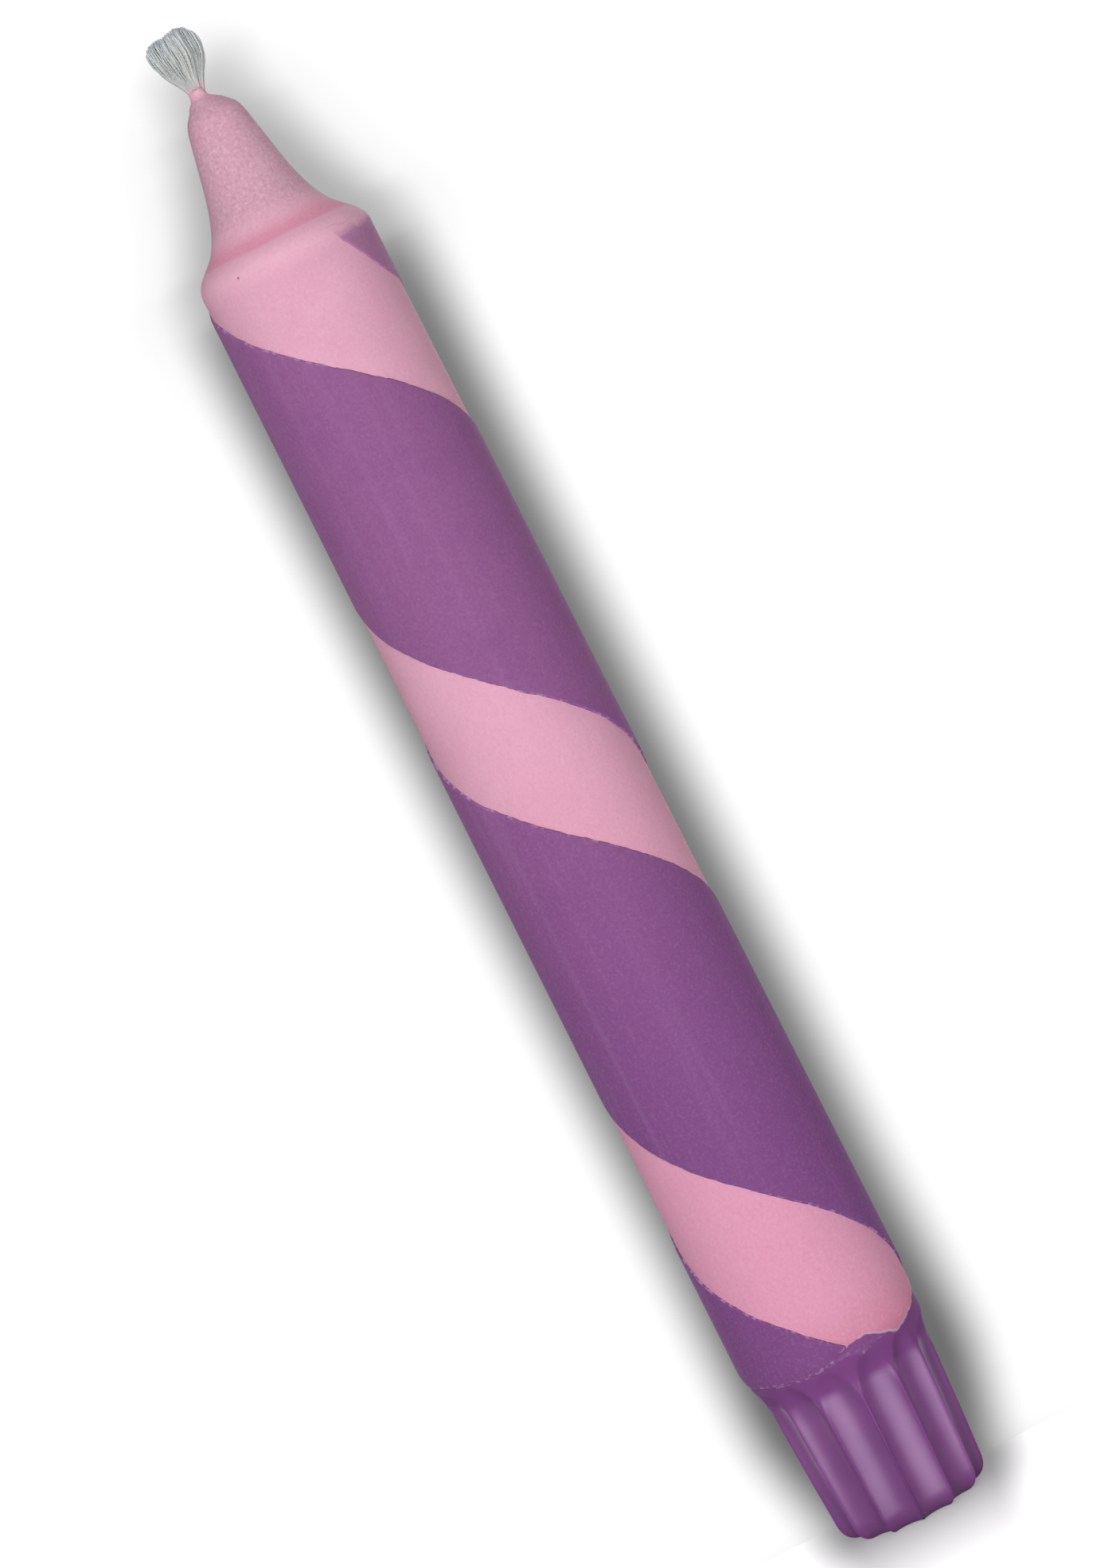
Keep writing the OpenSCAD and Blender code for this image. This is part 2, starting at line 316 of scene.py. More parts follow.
# The lip of the torn edge: share of the skin's thickness, and height above the edge
LIP = [(-0.15, 0.0), (0.4, -0.03), (0.75, 0.03), (0.95, 0.14), (1.0, 0.3), (1.0, 0.5), (1.0, 0.8), (1.0, 1.1),
       (1.0, 1.5)]
lip_rows = []
for share, rise in LIP:
    thin = 0.35 + 0.65 * np.maximum(lifted, smooth(0, 1.4, rise))
    lip_rows.append(around(body_radius(torn_edge + rise) + SKIN * share * thin, columns, torn_edge + rise))
SHAFT_ROWS_TOP, TIP_ROWS_LOW = 163, 163.4
shaft_share = np.linspace(0, 1, 70)[1:, None]
shaft_z = (torn_edge + LIP[-1][1]) * (1 - shaft_share) + SHAFT_ROWS_TOP * shaft_share
shaft_rows = around(np.maximum(skin_radius(shaft_z), body_radius(shaft_z) + SKIN), columns[None, :], shaft_z)
tip_z = np.arange(TIP_ROWS_LOW, CONE_Z, 0.25)
tip_rows = around(skin_radius(tip_z)[:, None], columns[None, :], tip_z[:, None])

# The skin's last rows narrow to the collar of wax that climbs the wick, beside the axis, and roll over its lip
neck = np.array([(2.35, 186.95), (2.08, 187.3), (1.75, 187.6), (1.42, 187.85), (1.2, 188.05), (1.08, 188.25),
                 (1.02, 188.5), (1.0, 188.7), (1.0, 188.9), (0.98, 189.05), (0.92, 189.2), (0.8, CLIMB_TOP),
                 (0.5, CLIMB_TOP - 0.1)])
neck_wobble = 1 + 0.05 * np.sin(np.radians(columns * 3))[None, :] * smooth(187.8, 188.6, neck[:, 1])[:, None]
neck_rows = around(neck[:, :1] * neck_wobble, columns[None, :], neck[:, 1:])
neck_rows[:, :, 0] += WICK_X * smooth(186.4, 188.4, neck[:, 1])[:, None]
skin_points = np.concatenate([np.array(lip_rows), shaft_rows, tip_rows, neck_rows])
edge_share = 1 - smooth(0, 0.55, skin_points[:, :, 2] - torn_edge[None, :])
skin = grid_mesh("pink_skin", skin_points, notes={"edge": edge_share})
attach(skin, "root")
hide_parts("pink_coat")

# %% [markdown]
# The purple band is a left-handed spiral a quarter of a millimetre thick. Its two edges fall at almost the same
# rate from turn to turn, and lean a little. A cross-section every three quarters of a degree follows both edges,
# with most of its points close to them, so the raised, chipped edges are real and catch the light.

# %% Purple band
BAND = 0.25
BAND_CLIMB = 167.7
BAND_RADIUS = 11.6


def sag(angle, middle, width):
    """1 at the middle angle, fading to 0 at about twice the width from it."""
    return np.exp(-((angle - middle) / width) ** 2)


angles = np.arange(-720, 1440, 0.75)
along = np.radians(angles) * BAND_RADIUS
GRAINS = [(9, 0.16), (2.5, 0.1), (0.9, 0.07), (0.35, 0.05)]
upper = edge_height(*UPPER_EDGE, angles) + ragged(along, 11, GRAINS)
lower = edge_height(*LOWER_EDGE, angles) + ragged(along, 12, GRAINS)
lower = lower - 3.2 * sag(angles, -300, 31)
upper = upper - 2.1 * sag(angles, -98, 18)
upper = np.minimum(upper, BAND_CLIMB + ragged(along, 13, [(3, 0.25), (1, 0.15)]))
lower = np.maximum(lower, torn_height(angles) + ragged_ring(angles, 4, [(4, 0.15), (1.5, 0.1), (0.5, 0.08)]))
kept = upper - lower > 0.25
angles, upper, lower = angles[kept], upper[kept], lower[kept]
band_height = upper - lower

# The band's edges: distance in from the edge, and thickness there
EDGE = np.array([(0.0, -0.04), (0.03, 0.09), (0.1, 0.17), (0.22, 0.225), (0.4, 0.25), (0.7, 0.25), (1.1, 0.25)])
edge_in, edge_thick = EDGE[:, :1], EDGE[:, 1:]
EDGE_WIDE = EDGE[-1, 0]
squeeze = np.minimum(1, band_height / 2.4)[None, :]
middle_share = np.linspace(0, 1, 24)[1:-1, None]
start, end = lower + EDGE_WIDE * squeeze[0], upper - EDGE_WIDE * squeeze[0]
band_z = np.concatenate([lower + edge_in * squeeze, start * (1 - middle_share) + end * middle_share,
                         (upper - edge_in * squeeze)[::-1]])
band_thick = np.concatenate([edge_thick, np.full_like(middle_share, BAND), edge_thick[::-1]]) * squeeze ** 0.5
from_edge = np.minimum(band_z - lower[None, :], upper[None, :] - band_z)

# The veil is full under the shoulder, thin over the band's first third of a turn, and thick at its very start
from_tip = smooth(angles[0], angles[0] + 40, angles)[None, :]
veil_z = band_z + ragged(along[kept], 14, [(5, 0.3), (1.2, 0.2)])[None, :]
veil = np.maximum(smooth(163.4 + 1.2 * from_tip, 168.8, veil_z), 0.42 * (1 - smooth(-250, -205, angles))[None, :])
veil = np.maximum(veil, 0.8 * (1 - smooth(angles[0], angles[0] + 14, angles))[None, :])
band_thick = band_thick * (1 - 0.75 * veil)
torn_end = (lower < torn_height(angles) + 0.4)[None, :] * (1 - smooth(0, 1.4, band_z - lower[None, :]))
band_thick = band_thick * (1 - 0.6 * torn_end)
under_band = np.maximum(skin_radius(band_z), body_radius(band_z) + SKIN) - 0.6 * SKIN * torn_end
band = grid_mesh("purple_band", around(under_band + band_thick, angles[None, :], band_z),
                 round_trip=False, notes={"edge": 1 - smooth(0, 0.5, from_edge), "veil": veil})
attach(band, "root")
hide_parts("purple_spiral")
print("Band from angle", angles[0], "to", angles[-1])

# %% [markdown]
# Below the pink skin a little of the matte purple film shows, where the candle went deeper into that bath. It is
# a thin ragged ring on the neck.

# %% Film below the skin
columns = np.arange(0, 360, 1.0)
FILM_LOW = [(-180, 22.4), (-150, 22.0), (-115, 22.5), (-65, 22.5), (-47, 22.1), (-28, 22.0), (-9, 22.3), (3, 22.4),
            (14, 21.9), (24, 22.3), (33, 22.6), (41, 21.9), (52, 22.4), (63, 23.3), (81, 24.4), (105, 23.2),
            (140, 22.6), (180, 22.4)]
film_low = np.interp(from_front(columns), *np.array(FILM_LOW).T)
film_low = film_low + ragged_ring(columns, 5, [(3, 0.12), (1, 0.1), (0.4, 0.06)])
film_high = np.maximum(torn_height(columns) + 0.5, film_low + 0.3)
film_share = np.array([0, 0.03, 0.1, 0.25, 0.5, 0.75, 1])[:, None]
film_thick = np.array([-0.04, 0.03, 0.06, 0.09, 0.11, 0.12, 0.12])[:, None]
film_z = film_low * (1 - film_share) + film_high * film_share
film = grid_mesh("purple_film", around(body_radius(film_z) + film_thick, columns[None, :], film_z),
                 notes={"edge": np.repeat(1 - film_share, len(columns), axis=1) ** 2 * 0.95,
                        "veil": np.zeros(film_z.shape)})
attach(film, "root")

# %% [markdown]
# The wick's head is a tuft of cotton. A solid brush with grooves looks like plastic, so each fibre is a thin tube
# of its own. A fibre has a place in the bundle, keeps that place as the bundle spreads, and wanders a little. The
# widths at each height are those of the tuft in the photograph.

# %% Fibres of the wick
FIBRES = 620
FIBRE_RINGS = 13
FIBRE_SIDES = 5
TUFT_Z = 188.4
TUFT_DEEP = 0.77   # its depth as a share of its width
spread_z = np.array([TUFT_Z, 189.3, 190.35, 191.4, 192.5, 193.6, 195.2, 196.6])
spread_left = np.array([-1.35, -1.52, -2.1, -2.82, -3.3, -3.65, -3.85, -3.75])
spread_right = np.array([0.35, 0.6, 1.07, 1.73, 2.27, 2.48, 2.35, 2.1])


def tuft(count, seed, radius, fill):
    """Rings of points round each fibre's own line, and a shade for each point."""
    draw = np.random.default_rng(seed)
    turn = draw.uniform(0, 2 * np.pi, count)
    out = np.sqrt(draw.uniform(fill, 1, count))
    across, deep = out * np.cos(turn), out * np.sin(turn)
    crown = np.interp(across, [-1, -0.8, -0.45, -0.2, 0, 0.35, 0.7, 0.9, 1],
                      [195.2, 196.1, 196.4, 196.4, 196.6, 196.75, 196.4, 195.6, 194.6])
    top = crown - 0.5 * deep ** 2 - draw.exponential(0.16, count)
    share = np.linspace(0, 1, FIBRE_RINGS)[None, :]
    z = TUFT_Z + (top[:, None] - TUFT_Z) * share
    left, right = np.interp(z, spread_z, spread_left), np.interp(z, spread_z, spread_right)
    x = (left + right) / 2 + (right - left) / 2 * across[:, None] * 1.04
    y = (right - left) / 2 * TUFT_DEEP * deep[:, None] * 0.97
    curl = draw.uniform(0, 2 * np.pi, (2, count, 1))
    curl_size = draw.uniform(0.04, 0.15, (2, count, 1)) * share
    x = x + curl_size[0] * np.sin(share * draw.uniform(4, 11, (count, 1)) + curl[0])
    y = y + curl_size[1] * np.sin(share * draw.uniform(4, 11, (count, 1)) + curl[1])
    line = np.stack([x, y, z], axis=-1)
    thick = radius * draw.uniform(0.75, 1.2, (count, 1)) * (1 - 0.35 * share ** 6)
    corner = np.linspace(0, 2 * np.pi, FIBRE_SIDES, endpoint=False)
    ring = np.stack([np.cos(corner), np.sin(corner), np.zeros(FIBRE_SIDES)], axis=-1)
    shade = np.repeat(draw.uniform(0, 1, (count, 1)), FIBRE_RINGS * FIBRE_SIDES, axis=1)
    return line[:, :, None, :] + ring[None, None] * thick[:, :, None, None], shade.reshape(-1)


def tubes_mesh(name, points, notes):
    """A piece through points[tube][ring][corner], each tube closed at its far end."""
    tubes, rings, sides = points.shape[:3]
    index = np.arange(tubes * rings * sides).reshape(tubes, rings, sides)
    after = np.roll(index, -1, axis=2)
    faces = np.stack([index[:, :-1], after[:, :-1], after[:, 1:], index[:, 1:]], axis=-1).reshape(-1, 4).tolist()
    faces += index[:, -1].tolist()
    return add_piece(name, points, faces, notes)


fibre_points, fibre_shade = tuft(FIBRES, seed=21, radius=0.08, fill=0.12)
fibre_height = np.clip((fibre_points[..., 2].reshape(-1) - spread_z[1]) / 7, 0, 1)
fibres = tubes_mesh("wick_fibres", fibre_points, {"shade": fibre_shade, "height": fibre_height})
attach(fibres, "root")
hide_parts("wick")

# %% [markdown]
# Inside the tuft sits the denser core of the same cotton, so that no light shines through between the fibres. Its
# lower end shows in the flat end of the foot, a little sunk.

# %% Core of the wick
columns = np.arange(0, 360, 10.0)
core_z = np.array([TUFT_Z, 189.3, 190.3, 191.4, 192.4, 193.35, 194.3, 195.0, 195.4, 195.6])
core_share = np.array([0.8, 0.8, 0.8, 0.8, 0.8, 0.8, 0.8, 0.78, 0.6, 0.05])
core_left, core_right = np.interp(core_z, spread_z, spread_left), np.interp(core_z, spread_z, spread_right)
core_half = ((core_right - core_left) / 2 * core_share)[:, None]
core_points = around(core_half, columns[None, :], core_z[:, None])
core_points[:, :, 1] *= TUFT_DEEP
core_points[:, :, 0] += ((core_left + core_right) / 2)[:, None]
core = grid_mesh("wick_core", core_points, notes={"shade": np.full(core_points.shape[:2], 0.2),
                                                  "height": np.full(core_points.shape[:2], 0.5)})
end_z = np.array([3.0, 0.42, 0.4, 0.4])
end_points = around(np.array([0.74, 0.74, 0.5, 0.02])[:, None], columns[None, :], end_z[:, None])
end_points[:, :, 0] += WICK_X
wick_end = grid_mesh("wick_end", end_points, notes={"shade": np.full(end_points.shape[:2], 0.5),
                                                    "height": np.full(end_points.shape[:2], 0.2)})
for piece in (core, wick_end):
    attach(piece, "root")

# %% [markdown]
# Materials are written as sums. A Wire holds one output of a shader node, and arithmetic with Wires lays the Math
# nodes that do it. Any other node comes from the node method of the board that it goes on, and a Finish is such a
# board for a material.

# %% Shader maths
class Wire:
    """An output of a shader node that can stand in a sum."""

    def __init__(self, tree, socket):
        self.tree = tree
        self.socket = socket

    def maths(self, operation, first, second):
        step = self.tree.nodes.new("ShaderNodeMath")
        step.operation = operation
        for place, value in enumerate((first, second)):
            if isinstance(value, Wire):
                self.tree.links.new(value.socket, step.inputs[place])
            else:
                step.inputs[place].default_value = value
        return Wire(self.tree, step.outputs[0])

    def __add__(self, other):
        return self.maths("ADD", self, other)

    def __radd__(self, other):
        return self.maths("ADD", other, self)

    def __sub__(self, other):
        return self.maths("SUBTRACT", self, other)

    def __rsub__(self, other):
        return self.maths("SUBTRACT", other, self)

    def __mul__(self, other):
        return self.maths("MULTIPLY", self, other)

    def __truediv__(self, other):
        return self.maths("DIVIDE", self, other)

    def __abs__(self):
        return self.maths("ABSOLUTE", self, 0)

    def root(self):
        return self.maths("SQRT", self, 0)

    def at_most(self, limit):
        return self.maths("MINIMUM", self, limit)

    def at_least(self, limit):
        return self.maths("MAXIMUM", self, limit)


class Board:
    """A node tree, and the means to add nodes to it."""

    def __init__(self, tree):
        self.tree = tree

    def node(self, kind, settings=None, inputs=None, output=0):
        """Adds a node: its settings first, then the values or links of its inputs."""
        made = self.tree.nodes.new(kind)
        for name, value in (settings or {}).items():
            setattr(made, name, value)
        for name, value in (inputs or {}).items():
            if isinstance(value, Wire):
                self.tree.links.new(value.socket, made.inputs[name])
            else:
                made.inputs[name].default_value = value
        return Wire(self.tree, made.outputs[output])

    def place(self):
        """The point that is shaded, in its object's coordinates."""
        return self.node("ShaderNodeTexCoord", output=3)

    def in_mm(self, place, axis):
        """A place's x, y or z, by number from 0, in millimetres."""
        return self.node("ShaderNodeSeparateXYZ", None, {0: place}, output=axis) * (1 / MM)

    def between(self, value, low, high):
        """0 where value is below low, 1 where it is above high, smooth in between."""
        return self.node("ShaderNodeMapRange", {"interpolation_type": "SMOOTHSTEP"},
                         {"Value": value, "From Min": low, "From Max": high})

    def blend(self, share, first, second):
        """A colour between two colours."""
        return self.node("ShaderNodeMix", {"data_type": "RGBA"}, {0: share, 6: first, 7: second}, output=2)

    def end(self, name, socket, wire):
        """Links a wire to a socket of the node that the tree came with."""
        self.tree.links.new(wire.socket, self.tree.nodes[name].inputs[socket])


class Finish(Board):
    """A material and its Principled shader."""

    def __init__(self, name):
        self.material = bpy.data.materials.new(name)
        self.material.use_nodes = True
        super().__init__(self.material.node_tree)
        self.shader = self.tree.nodes["Principled BSDF"]

    def set(self, **values):
        """Constants set directly on the shader's own sockets."""
        for name, value in values.items():
            self.shader.inputs[name.replace("_", " ")].default_value = value

    def feed(self, name, wire):
        """What changes over the surface goes into the named socket."""
        self.tree.links.new(wire.socket, self.shader.inputs[name])


def paint(red, green, blue):
    """A colour as a picture shows it, 0 to 255, turned into the light that it stands for."""
    light = [c / 255 / 12.92 if c <= 10 else ((c / 255 + 0.055) / 1.055) ** 2.4 for c in (red, green, blue)]
    return (*light, 1)

# %% [markdown]
# Matte wax is skimmed by a fine bloom: tiny pale and dark grains a third of a millimetre across, over slow
# clouds a centimetre wide. Its surface is dull and softly pitted, and some light goes in and comes out beside
# where it went in, which rounds off the shading.

# %% Grain, pits and notes, shared by the materials
WAX_PITS = 0.08 * MM
COTTON_PITS = 0.04 * MM


def wax_grain(finish, place):
    """Clouds and grain round 0, from a noise for each."""
    cloud = finish.node("ShaderNodeTexNoise", None, {"Vector": place, "Scale": 110, "Detail": 2})
    grain = finish.node("ShaderNodeTexNoise", None, {"Vector": place, "Scale": 2600, "Detail": 3, "Roughness": 0.6})
    return cloud - 0.5, grain - 0.5


def add_bump(finish, height, strength, distance):
    """Tiny relief from a height in units of distance."""
    bump = finish.node("ShaderNodeBump", None, {"Height": height, "Strength": strength, "Distance": distance})
    finish.feed("Normal", bump)


def read_note(finish, name):
    """The number that a mesh stores at each of its points."""
    return finish.node("ShaderNodeAttribute", {"attribute_name": name}, output=2)

# %% [markdown]
# Pink: a clear cool pink on the shaft, deeper towards the lower edge, and greyer on the point, where the dip was thin.
# A stronger pink line runs along the crease above the shoulder. The torn lower edge is a pale mauve where it lifts off
# the purple. One tiny dark speck sits under the shoulder at the front left.

# %% Pink wax
pink = Finish("matte_pink_wax")
place = pink.place()
height = pink.in_mm(place, 2)
cloud, grain = wax_grain(pink, place)
edge = read_note(pink, "edge")
wander = height + cloud * 0.9
crease = pink.between(wander, 169.15, 169.6) * (1 - pink.between(wander, 169.8, 172.3))
on_tip = pink.between(wander, 170.6, 174.5)
by_wick = pink.between(wander, 187.0, 188.2)
colour = pink.blend(pink.between(cloud, -0.2, 0.2), paint(238, 179, 202), paint(233, 173, 197))
colour = pink.blend(pink.between(height, 30, 130), paint(240, 168, 197), colour)
colour = pink.blend(1 - pink.between(height, 21, 30), colour, paint(229, 148, 174))
colour = pink.blend(1 - pink.between(height, 20.5, 24.5), colour, paint(190, 121, 152))
# Painted light: the pink is lighter over the rounded shoulder, where light falls on the slope.
colour = pink.blend(pink.between(height, 165, 167.5), colour, paint(242, 185, 206))
colour = pink.blend(on_tip, colour, paint(219, 170, 188))
colour = pink.blend(crease * 0.6, colour, paint(240, 148, 177))
colour = pink.blend(by_wick * 0.8, colour, paint(238, 183, 200))
colour = pink.blend(pink.between(edge, 0.2, 0.8) * 0.7, colour, paint(210, 182, 209))
colour = pink.blend(pink.between(grain, -0.02, 0.2) * (on_tip * 0.16 + 0.1), colour, paint(180, 110, 140))
colour = pink.blend(pink.between(grain, -0.02, -0.2) * (on_tip * 0.2 + 0.14), colour, paint(250, 215, 225))
SPECK_Z, SPECK_ANGLE = 167.2, -33
speck_place = tuple(around(skin_radius(SPECK_Z), SPECK_ANGLE, SPECK_Z) * MM)
apart = pink.node("ShaderNodeVectorMath", {"operation": "DISTANCE"}, {0: place, 1: speck_place}, output=1)
colour = pink.blend((1 - pink.between(apart, 0.1 * MM, 0.2 * MM)) * 0.7, colour, paint(120, 60, 80))
pink.feed("Base Color", colour)
pink.feed("Roughness", 0.58 + grain * 0.2)
pink.set(IOR=1.25, Specular_IOR_Level=0.1, Subsurface_Weight=0.12, Subsurface_Radius=(1.0, 0.5, 0.6),
         Subsurface_Scale=0.0012)
add_bump(pink, grain + cloud * 2, 0.35, WAX_PITS)
skin.data.materials.append(pink.material)

# %% [markdown]
# Purple: the same wax with another dye. Strokes a few centimetres long run down it, a little lighter, and grains
# of pale bloom sit close to its edges. Under the shoulder a veil of pink covers it.

# %% Purple wax
purple = Finish("matte_purple_wax")
place = purple.place()
height = purple.in_mm(place, 2)
cloud, grain = wax_grain(purple, place)
stretched = purple.node("ShaderNodeMapping", None, {"Vector": place, "Scale": (420, 420, 14)})
stroke = purple.node("ShaderNodeTexNoise", None, {"Vector": stretched, "Scale": 1, "Detail": 3}) - 0.5
edge = read_note(purple, "edge")
veil = read_note(purple, "veil")
speck = purple.node("ShaderNodeTexNoise", None, {"Vector": place, "Scale": 1500, "Detail": 1}) - 0.5
colour = purple.blend(purple.between(height, 40, 130), paint(139, 85, 145), paint(154, 98, 151))
colour = purple.blend(purple.between(stroke, 0.0, 0.3) * 0.3, colour, paint(170, 122, 172))
colour = purple.blend(purple.between(cloud, 0.0, 0.25) * 0.25, colour, paint(134, 82, 140))
colour = purple.blend(purple.between(edge, 0.2, 0.9) * purple.between(speck, 0.0, 0.17) * 0.65, colour,
                      paint(196, 158, 200))
# Painted light: the veil's pink lightens towards the shoulder, to match the skin's painted light there.
veil_pink = purple.blend(purple.between(height, 165, 167.2), paint(217, 158, 184), paint(240, 182, 204))
colour = purple.blend(purple.between(veil + grain * 0.5, 0.1, 0.9), colour, veil_pink)
colour = purple.blend(purple.between(grain, 0.0, 0.2) * 0.12, colour, paint(96, 48, 100))
colour = purple.blend(purple.between(grain, 0.0, -0.2) * 0.12, colour, paint(190, 150, 195))
purple.feed("Base Color", colour)
purple.feed("Roughness", 0.56 + grain * 0.2)
purple.set(IOR=1.25, Specular_IOR_Level=0.1, Subsurface_Weight=0.1, Subsurface_Radius=(1.0, 0.5, 0.9),
           Subsurface_Scale=0.0010)
add_bump(purple, grain + cloud * 2 + stroke, 0.35, WAX_PITS)
for piece in (band, film):
    piece.data.materials.append(purple.material)

# %% [markdown]
# The foot is bare cast wax that has never been dipped. Its gloss is a coat over the dull wax: full in the hollows,
# where it holds long pale highlights that mirror a painted glow on the table, and worn off the crests by handling and
# off the neck by the dipping.

# %% Glossy wax of the foot
glossy = Finish("glossy_purple_wax")
place = glossy.place()
height = glossy.in_mm(place, 2)
cloud, grain = wax_grain(glossy, place)
colour = glossy.blend(glossy.between(cloud, -0.25, 0.25), paint(129, 73, 137), paint(138, 79, 143))
colour = glossy.blend(glossy.between(grain, 0.05, 0.25) * 0.12, colour, paint(160, 110, 165))
glossy.feed("Base Color", colour)
glossy.feed("Roughness", 0.6 + grain * 0.1)
in_hollow = (1 - glossy.between(height, 18.0, 19.6)) * (1 - read_note(glossy, "crest") * 0.85)
glossy.feed("Coat Weight", (in_hollow * (0.95 + cloud * 0.4)).at_most(1))
glossy.set(IOR=1.3, Specular_IOR_Level=0.15, Coat_Roughness=0.36, Coat_IOR=1.75, Subsurface_Weight=0.08,
           Subsurface_Radius=(1.0, 0.4, 0.9), Subsurface_Scale=0.0010)
add_bump(glossy, cloud * 2 + grain * 0.3, 0.25, WAX_PITS)
foot.data.materials.append(glossy.material)

# %% [markdown]
# The cotton is undyed. It is grey low in the tuft and a cool white towards its ends, which is painted light: it makes
# up for the shade that the tuft throws on its own top. A little pink sits at its foot, where wax has soaked in. Each
# fibre has a shade of its own, which is what makes a tuft read as separate threads.

# %% Cotton
cotton = Finish("cotton")
shade = read_note(cotton, "shade")
upness = read_note(cotton, "height")
place = cotton.place()
fuzz = cotton.node("ShaderNodeTexNoise", None, {"Vector": place, "Scale": 4000, "Detail": 2}) - 0.5
# Painted light: the fibres are whiter towards their ends, making up for the shade the tuft throws on its own top.
colour = cotton.blend(cotton.between(upness, 0.45, 1.0), paint(219, 220, 216), paint(237, 239, 243))
colour = cotton.blend((1 - shade) * 0.75, colour, paint(158, 170, 171))
colour = cotton.blend(cotton.between(upness, 0.13, 0.0) * 0.6, colour, paint(224, 180, 192))
cotton.feed("Base Color", colour)
cotton.feed("Roughness", 0.85 + fuzz * 0.1)
cotton.set(Specular_IOR_Level=0.2, Sheen_Weight=0.2, Sheen_Roughness=0.5)
add_bump(cotton, fuzz, 0.3, COTTON_PITS)
for piece in (fibres, core, wick_end):
    piece.data.materials.append(cotton.material)

# %% [markdown]
# The studio is a white table with a white card close behind the candle. The card only takes part in the picture: it is
# seen from the front, and it neither shades nor lights the wax, so the back of the candle looks the same without it.
# Table and card also glow in plain white for camera and mirror rays alone, and the world behind them is white to the
# same rays. Such soft light throws only a weak shadow, so a deeper shadow is painted on them: the white is greyed
# along the candle's outline, where a distance to the outline, in millimetres, is worked out from the place on the card
# or the table and turned into a soft fall-off.
#
# The glossy foot mirrors the table just in front of it. There the table glows for mirror rays alone, as a painted
# reflection: dimly all over, and brightly in a fan that opens towards the camera and a little to its right. This draws
# a soft pale stripe into each hollow.

# %% Floor, card and world
CAMERA_RAY, GLOSSY_RAY, TRANSMISSION_RAY = 0, 3, 6   # outputs of the Light Path node
BACKFACING = 6   # output of the Geometry node


def clear_sight(board):
    """1 for camera, glossy and transmission rays, 0 for the rest."""
    rays = [board.node("ShaderNodeLightPath", output=ray) for ray in (CAMERA_RAY, GLOSSY_RAY, TRANSMISSION_RAY)]
    return (rays[0] + rays[1] + rays[2]).at_most(1)


WHITE = (1, 1, 1, 1)
SHADOW_SHIFT = 0.68
SHADOW_REACH = 7.9
FOOT_HALF_WIDTH = 7.4
DEPTH_SEEN = 0.155
# Half the candle's width on the card, and the share of white that the painted shadow takes away beside it, at heights
# on the card
SHADOW_HALF_WIDTH = [(0, 8.8), (4, 9.7), (9, 10.8), (14, 11.5), (24, 11.5), (35, 11.3), (65, 11.3), (100, 11.2),
                   (135, 11.1), (160, 11.1), (166, 10.9), (171, 8.4), (177, 5.6), (180, 4.6), (182.5, 3.7), (185, 3.0),
                   (189, 1.8), (195, 3.0), (200, 2.5)]
SHADOW_DARK = [(0, 0.76), (14, 0.83), (24, 0.81), (40, 0.78), (80, 0.78), (130, 0.78), (156, 0.76), (163, 0.64),
             (167.5, 0.46), (172, 0.48), (178, 0.48), (184, 0.43), (187, 0.38), (190, 0.33), (192.5, 0.22),
             (195, 0.1), (200, 0)]


def near_outline(board, distance):
    """1 on the outline, 0 past the painted shadow's width."""
    return 1 - board.between(distance, -0.5, SHADOW_REACH)


def by_height(board, up, table, largest):
    """A number between 0 and largest that follows a table of heights, in millimetres from 0, and values."""
    top = table[-1][0]
    drawn = board.node("ShaderNodeFloatCurve", None, {"Value": up * (1 / top)})
    curve = drawn.socket.node.mapping.curves[0]
    curve.points[0].location = (0, table[0][1] / largest)
    curve.points[-1].location = (1, table[-1][1] / largest)
    for low, value in table[1:-1]:
        curve.points.new(low / top, value / largest)
    drawn.socket.node.mapping.update()
    return drawn * largest


def painted_card_shadow(board):
    """Share of white that is left on the card under the painted shadow: least along the candle's outline, all of it
    away from there.
    """
    place = board.place()
    across, up = board.in_mm(place, 0), board.in_mm(place, 2)
    distance = abs(across - SHADOW_SHIFT) - by_height(board, up, SHADOW_HALF_WIDTH, 20)
    wide = (1 - board.between(distance, 2, 18)) * (1 - board.between(up, 186, 197))
    tail = 1 - wide * (0.05 + board.between(up, 145, 172) * 0.1)
    return (1 - near_outline(board, distance) * by_height(board, up, SHADOW_DARK, 1)) * tail


def painted_floor_shadow(board):
    """The painted shadow on the floor. It meets the card's painted shadow behind the foot, and the camera sees its
    depth shortened.
    """
    place = board.place()
    across, depth = board.in_mm(place, 0), board.in_mm(place, 1)
    behind = board.between(depth, -22, 9)
    beside = (abs(across - SHADOW_SHIFT) - FOOT_HALF_WIDTH - behind * 2.4).at_least(0)
    in_front = (0 - depth).at_least(0) * DEPTH_SEEN
    distance = (beside * beside + in_front * in_front).root()
    return 1 - near_outline(board, distance) * (0.59 + behind * 0.15)


def stage_white(board, share, white, glow):
    """A diffuse surface with some glow that only camera and mirror rays see, both dimmed to a share."""
    grey = share * white
    colour = board.node("ShaderNodeCombineColor", None, {channel: grey for channel in (0, 1, 2)})
    diffuse = board.node("ShaderNodeBsdfDiffuse", None, {"Color": colour})
    light = board.node("ShaderNodeEmission", None, {"Color": WHITE, "Strength": clear_sight(board) * share * glow})
    return board.node("ShaderNodeAddShader", None, {0: diffuse, 1: light})


CARD_WHITE, CARD_GLOW = 0.15, 0.93
white_card = Finish("white_card")
# The card's white, with the painted shadow along the candle.
shown = stage_white(white_card, painted_card_shadow(white_card), CARD_WHITE, CARD_GLOW)
back = white_card.node("ShaderNodeNewGeometry", output=BACKFACING)
clear = white_card.node("ShaderNodeBsdfTransparent")
one_sided = white_card.node("ShaderNodeMixShader", None, {0: back, 1: shown, 2: clear})
white_card.end("Material Output", "Surface", one_sided)

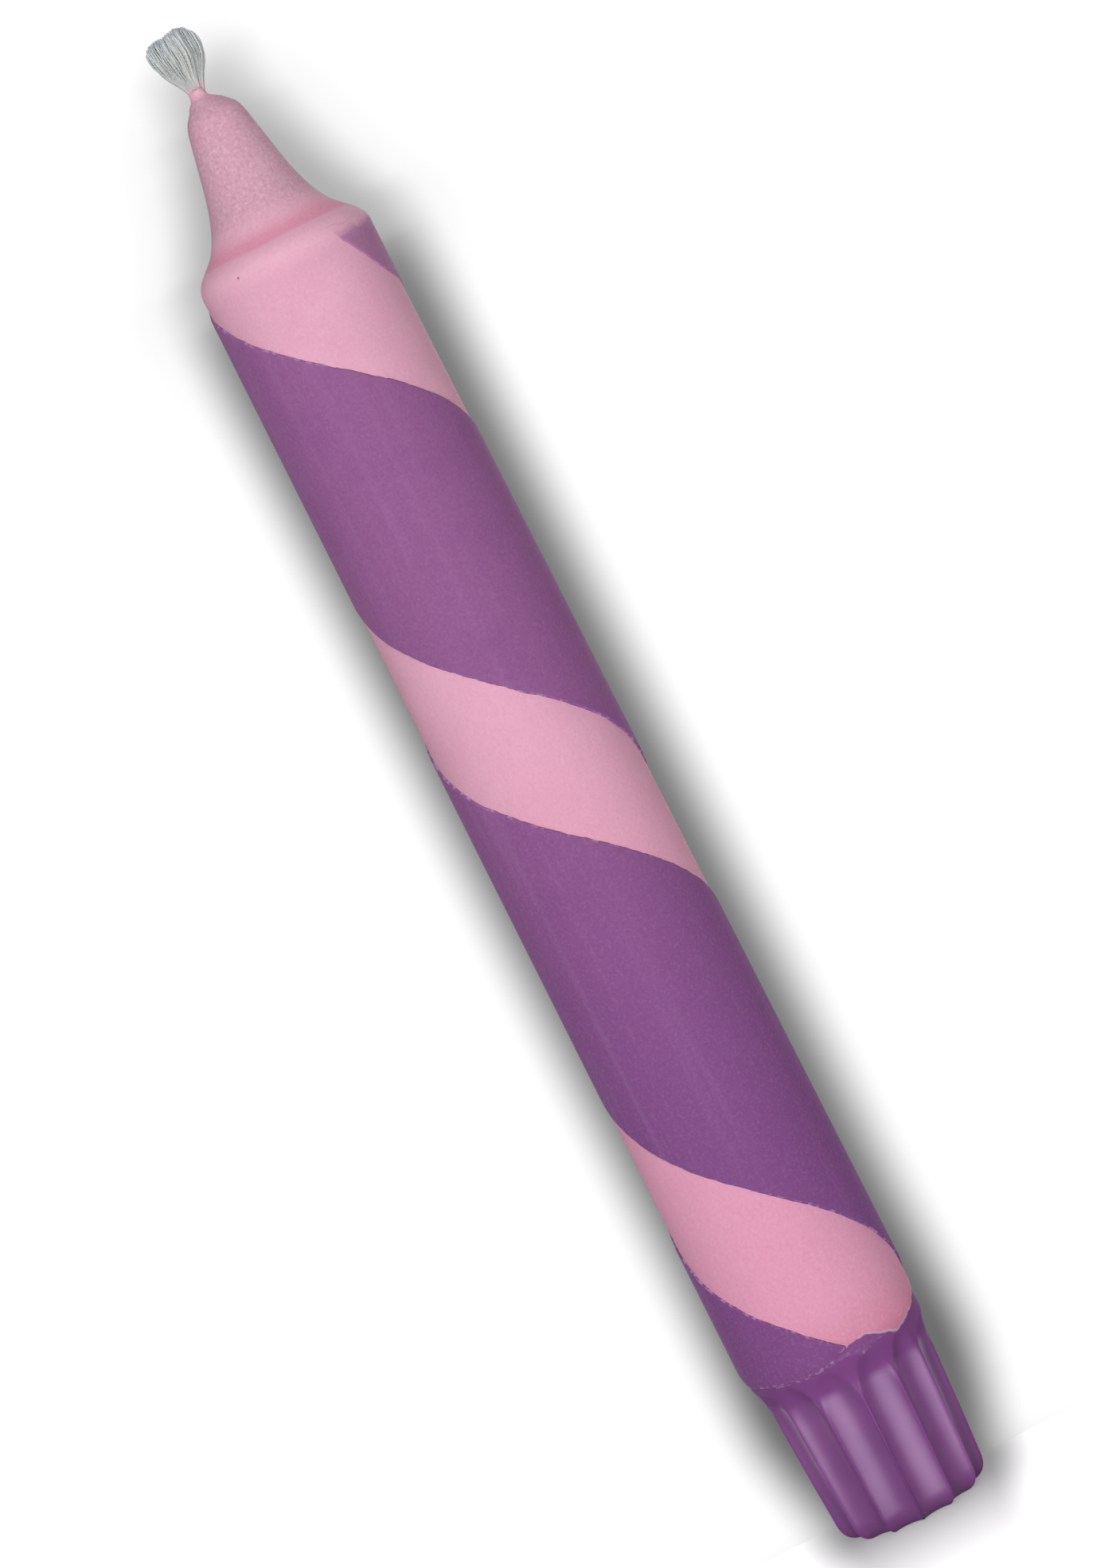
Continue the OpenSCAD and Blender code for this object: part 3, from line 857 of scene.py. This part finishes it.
TABLE_WHITE, TABLE_GLOW = 0.95, 0.8
FAN_TURN = math.radians(9)
FAN_START = 8
FAN_WIDE = 1.7
FAN_GLOW = 2.3
DIM_MIRROR_GLOW = 0.12
white_table = Finish("white_table")
place = white_table.place()
sideways, forward = white_table.in_mm(place, 0), white_table.in_mm(place, 1)
# Painted reflection: the table glows for mirror rays alone, brightly in the fan and dimly elsewhere.
out_along = (sideways * math.sin(FAN_TURN) - forward * math.cos(FAN_TURN) - FAN_START).at_least(0.01)
off_line = abs(sideways * math.cos(FAN_TURN) + forward * math.sin(FAN_TURN))
fan = (1 - white_table.between(off_line / out_along, 0.0, FAN_WIDE)) * white_table.between(out_along, 1, 12)
painted_reflection = white_table.node("ShaderNodeEmission", None, {"Color": WHITE, "Strength": fan * FAN_GLOW + DIM_MIRROR_GLOW})
mirror_ray = white_table.node("ShaderNodeLightPath", output=GLOSSY_RAY)
# The table's white, with the painted shadow round the foot.
plain = stage_white(white_table, painted_floor_shadow(white_table), TABLE_WHITE, TABLE_GLOW)
shown = white_table.node("ShaderNodeMixShader", None, {0: mirror_ray, 1: plain, 2: painted_reflection})
white_table.end("Material Output", "Surface", shown)


def stage_sheet(name, outline, half_width, finish):
    """A stage piece: an outline of (y, z) points in millimetres, drawn sideways."""
    corners = np.array([(x, y, z) for y, z in outline for x in (-half_width, half_width)], float)
    faces = [(2 * i, 2 * i + 1, 2 * i + 3, 2 * i + 2) for i in range(len(outline) - 1)]
    piece = add_piece(name, corners, faces)
    piece.data.materials.append(finish.material)
    return piece


CARD_Y = 13.2
COVE = 3.2
cove = [(CARD_Y - COVE + COVE * math.sin(a), COVE - COVE * math.cos(a)) for a in np.radians(np.arange(0, 91, 10))]
stage_sheet("floor", [(-3000, 0), (3000, 0)], 3000, white_table)
card = stage_sheet("card", cove + [(CARD_Y, 600)], 500, white_card)
card.visible_diffuse = False
card.visible_shadow = False

world = bpy.data.worlds.new("studio")
world.use_nodes = True
bpy.context.scene.world = world
sky = Board(world.node_tree)
SOFT_LIGHT = 0.2
sky.end("Background", "Strength", SOFT_LIGHT + clear_sight(sky) * (1 - SOFT_LIGHT))
sky.tree.nodes["Background"].inputs["Color"].default_value = WHITE

# %% [markdown]
# One big softbox in front, a little to the left and above, makes the broad pale middle of the candle. A weaker
# one from behind keeps the back readable when the camera goes round.

# %% Lamps
SOFTBOX_SIZE = 0.8
CANDLE_MIDDLE = Vector((0, 0, 0.1))


def softbox(name, place, power):
    """A square area lamp at place that looks at the candle."""
    lamp = bpy.data.lights.new(name, "AREA")
    lamp.size = SOFTBOX_SIZE
    lamp.energy = power
    holder = bpy.data.objects.new(name, lamp)
    holder.location = place
    holder.rotation_euler = (CANDLE_MIDDLE - Vector(place)).to_track_quat("-Z", "Y").to_euler()
    bpy.context.scene.collection.objects.link(holder)
    print(f"{name}: {power} W")


softbox("key", (-0.12, -1.0, 0.3), 8.2)
softbox("rear", (0.5, 0.9, 0.5), 2.8)

# %% [markdown]
# Last, the colours are shown through the Standard view transform.

# %% Colour view
view = bpy.context.scene.view_settings
view.view_transform = "Standard"
